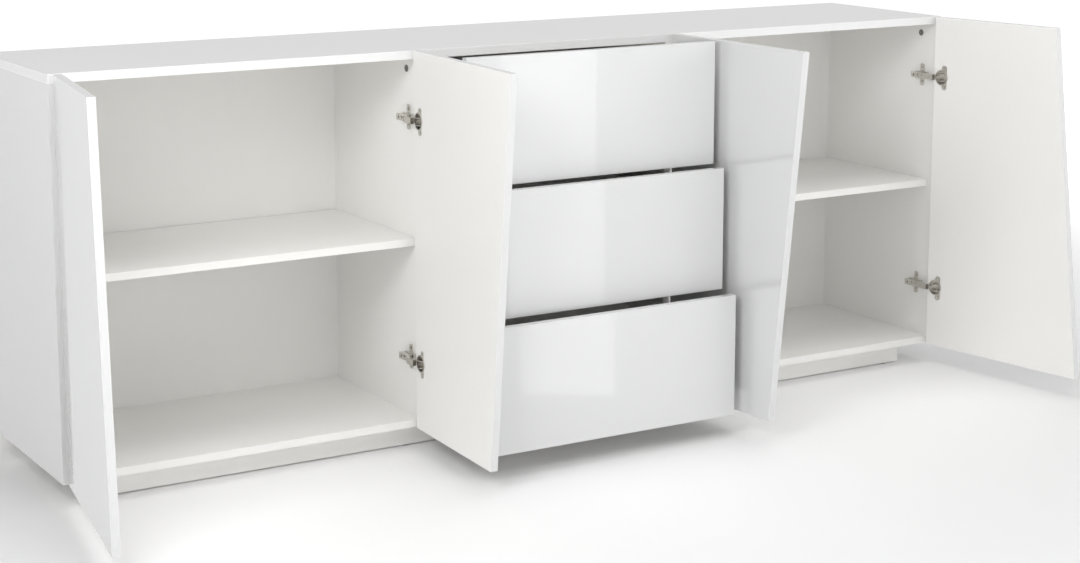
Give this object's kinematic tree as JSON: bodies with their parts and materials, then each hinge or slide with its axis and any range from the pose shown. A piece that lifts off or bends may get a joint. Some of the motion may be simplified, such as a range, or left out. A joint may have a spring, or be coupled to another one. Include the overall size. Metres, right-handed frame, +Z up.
{
  "type": "sideboard",
  "caption": "Long white gloss sideboard: a drawer stack in the middle between two shelved bays, each closed by a pair of doors that meet on a slant.",
  "frame": {"origin": "on the floor under the middle of the cabinet", "axes": "+X along the cabinet, +Z up; the doors and drawers face -Y"},
  "size_m": [2.3182, 0.8625, 0.854],
  "materials": {
    "gloss_front": "board with a white high-gloss lacquer, mirror-like on every side",
    "gloss_carcass": "board with a white high-gloss lacquer",
    "satin_carcass": "board with a white satin melamine face",
    "thin_board": "3 mm hardboard with a white printed face",
    "drawer_box": "board with a white satin melamine face",
    "hinge_nickel": "bright nickel plate on pressed steel",
    "runner_steel": "white powder coat on pressed steel",
    "roller_plastic": "natural white nylon",
    "cam_zinc": "dull dark zinc die casting",
    "glide_plastic": "grey plastic"
  },
  "bodies": {
    "cabinet": {"bottom_panel": "satin_carcass", "cabinet_runners": "runner_steel", "cam_locks": "cam_zinc", "centre_back_panel": "thin_board", "floor_glides": "glide_plastic", "hinge_arms": "hinge_nickel", "hinge_mounting_plates": "hinge_nickel", "hinge_plate_screws": "hinge_nickel", "left_back_panel": "thin_board", "left_divider": "satin_carcass", "left_shelf": "satin_carcass", "left_side_panel": "satin_carcass", "plinth_back_rail": "satin_carcass", "plinth_front_rail": "satin_carcass", "plinth_left_end": "satin_carcass", "plinth_middle_brace": "satin_carcass", "plinth_right_end": "satin_carcass", "right_back_panel": "thin_board", "right_divider": "satin_carcass", "right_shelf": "satin_carcass", "right_side_panel": "satin_carcass", "shelf_pins": "hinge_nickel", "top_panel": "gloss_carcass"},
    "door_1": {"door_1_hinge_cups": "hinge_nickel", "door_1_panel": "gloss_front"},
    "door_2": {"door_2_hinge_cups": "hinge_nickel", "door_2_panel": "gloss_front"},
    "door_3": {"door_3_hinge_cups": "hinge_nickel", "door_3_panel": "gloss_front"},
    "door_4": {"door_4_hinge_cups": "hinge_nickel", "door_4_panel": "gloss_front"},
    "drawer_1": {"drawer_1_back": "drawer_box", "drawer_1_base": "thin_board", "drawer_1_front": "gloss_front", "drawer_1_left_side": "drawer_box", "drawer_1_right_side": "drawer_box", "drawer_1_runners": "runner_steel"},
    "drawer_1_rear_rollers": {"drawer_1_rear_rollers": "roller_plastic"},
    "runner_1_front_rollers": {"runner_1_front_rollers": "roller_plastic"},
    "drawer_2": {"drawer_2_back": "drawer_box", "drawer_2_base": "thin_board", "drawer_2_front": "gloss_front", "drawer_2_left_side": "drawer_box", "drawer_2_right_side": "drawer_box", "drawer_2_runners": "runner_steel"},
    "drawer_2_rear_rollers": {"drawer_2_rear_rollers": "roller_plastic"},
    "runner_2_front_rollers": {"runner_2_front_rollers": "roller_plastic"},
    "drawer_3": {"drawer_3_back": "drawer_box", "drawer_3_base": "thin_board", "drawer_3_front": "gloss_front", "drawer_3_left_side": "drawer_box", "drawer_3_right_side": "drawer_box", "drawer_3_runners": "runner_steel"},
    "drawer_3_rear_rollers": {"drawer_3_rear_rollers": "roller_plastic"},
    "runner_3_front_rollers": {"runner_3_front_rollers": "roller_plastic"}
  },
  "joints": [
    {"name": "door_1_hinge", "type": "hinge", "parent": "cabinet", "child": "door_1", "pos_m": [-1.0892, -0.225, 0.453], "axis": [0, 0, 1], "range_deg": [-6, 99]},
    {"name": "door_2_hinge", "type": "hinge", "parent": "cabinet", "child": "door_2", "pos_m": [-0.3183, -0.225, 0.453], "axis": [0, 0, 1], "range_deg": [-87, 3]},
    {"name": "door_3_hinge", "type": "hinge", "parent": "cabinet", "child": "door_3", "pos_m": [0.3183, -0.225, 0.453], "axis": [0, 0, 1], "range_deg": [-3, 87]},
    {"name": "door_4_hinge", "type": "hinge", "parent": "cabinet", "child": "door_4", "pos_m": [1.0892, -0.225, 0.453], "axis": [0, 0, 1], "range_deg": [-99, 6]},
    {"name": "drawer_1_slide", "type": "slide", "parent": "cabinet", "child": "drawer_1", "axis": [0, -1, 0], "range_m": [-0.164, 0.096]},
    {"name": "drawer_1_rear_roller_turn", "type": "hinge", "parent": "drawer_1", "child": "drawer_1_rear_rollers", "pos_m": [0, -0.033, 0.63433], "axis": [1, 0, 0], "range_deg": [-991.1, 581]},
    {"name": "runner_1_front_roller_turn", "type": "hinge", "parent": "cabinet", "child": "runner_1_front_rollers", "pos_m": [0, -0.197, 0.63433], "axis": [1, 0, 0], "range_deg": [-991.1, 581]},
    {"name": "drawer_2_slide", "type": "slide", "parent": "cabinet", "child": "drawer_2", "axis": [0, -1, 0], "range_m": [-0.203, 0.057]},
    {"name": "drawer_2_rear_roller_turn", "type": "hinge", "parent": "drawer_2", "child": "drawer_2_rear_rollers", "pos_m": [0, -0.072, 0.36567], "axis": [1, 0, 0], "range_deg": [-1226.3, 345.8]},
    {"name": "runner_2_front_roller_turn", "type": "hinge", "parent": "cabinet", "child": "runner_2_front_rollers", "pos_m": [0, -0.197, 0.36567], "axis": [1, 0, 0], "range_deg": [-1226.3, 345.8]},
    {"name": "drawer_3_slide", "type": "slide", "parent": "cabinet", "child": "drawer_3", "axis": [0, -1, 0], "range_m": [-0.253, 0.007]},
    {"name": "drawer_3_rear_roller_turn", "type": "hinge", "parent": "drawer_3", "child": "drawer_3_rear_rollers", "pos_m": [0, -0.122, 0.097], "axis": [1, 0, 0], "range_deg": [-1527.9, 44.2]},
    {"name": "runner_3_front_roller_turn", "type": "hinge", "parent": "cabinet", "child": "runner_3_front_rollers", "pos_m": [0, -0.197, 0.097], "axis": [1, 0, 0], "range_deg": [-1527.9, 44.2]}
  ],
  "couplings": [
    {"joint": "drawer_1_rear_roller_turn", "follows": "drawer_1_slide", "rad_per_m": 105.26},
    {"joint": "runner_1_front_roller_turn", "follows": "drawer_1_slide", "rad_per_m": 105.26},
    {"joint": "drawer_2_rear_roller_turn", "follows": "drawer_2_slide", "rad_per_m": 105.26},
    {"joint": "runner_2_front_roller_turn", "follows": "drawer_2_slide", "rad_per_m": 105.26},
    {"joint": "drawer_3_rear_roller_turn", "follows": "drawer_3_slide", "rad_per_m": 105.26},
    {"joint": "runner_3_front_roller_turn", "follows": "drawer_3_slide", "rad_per_m": 105.26}
  ]
}
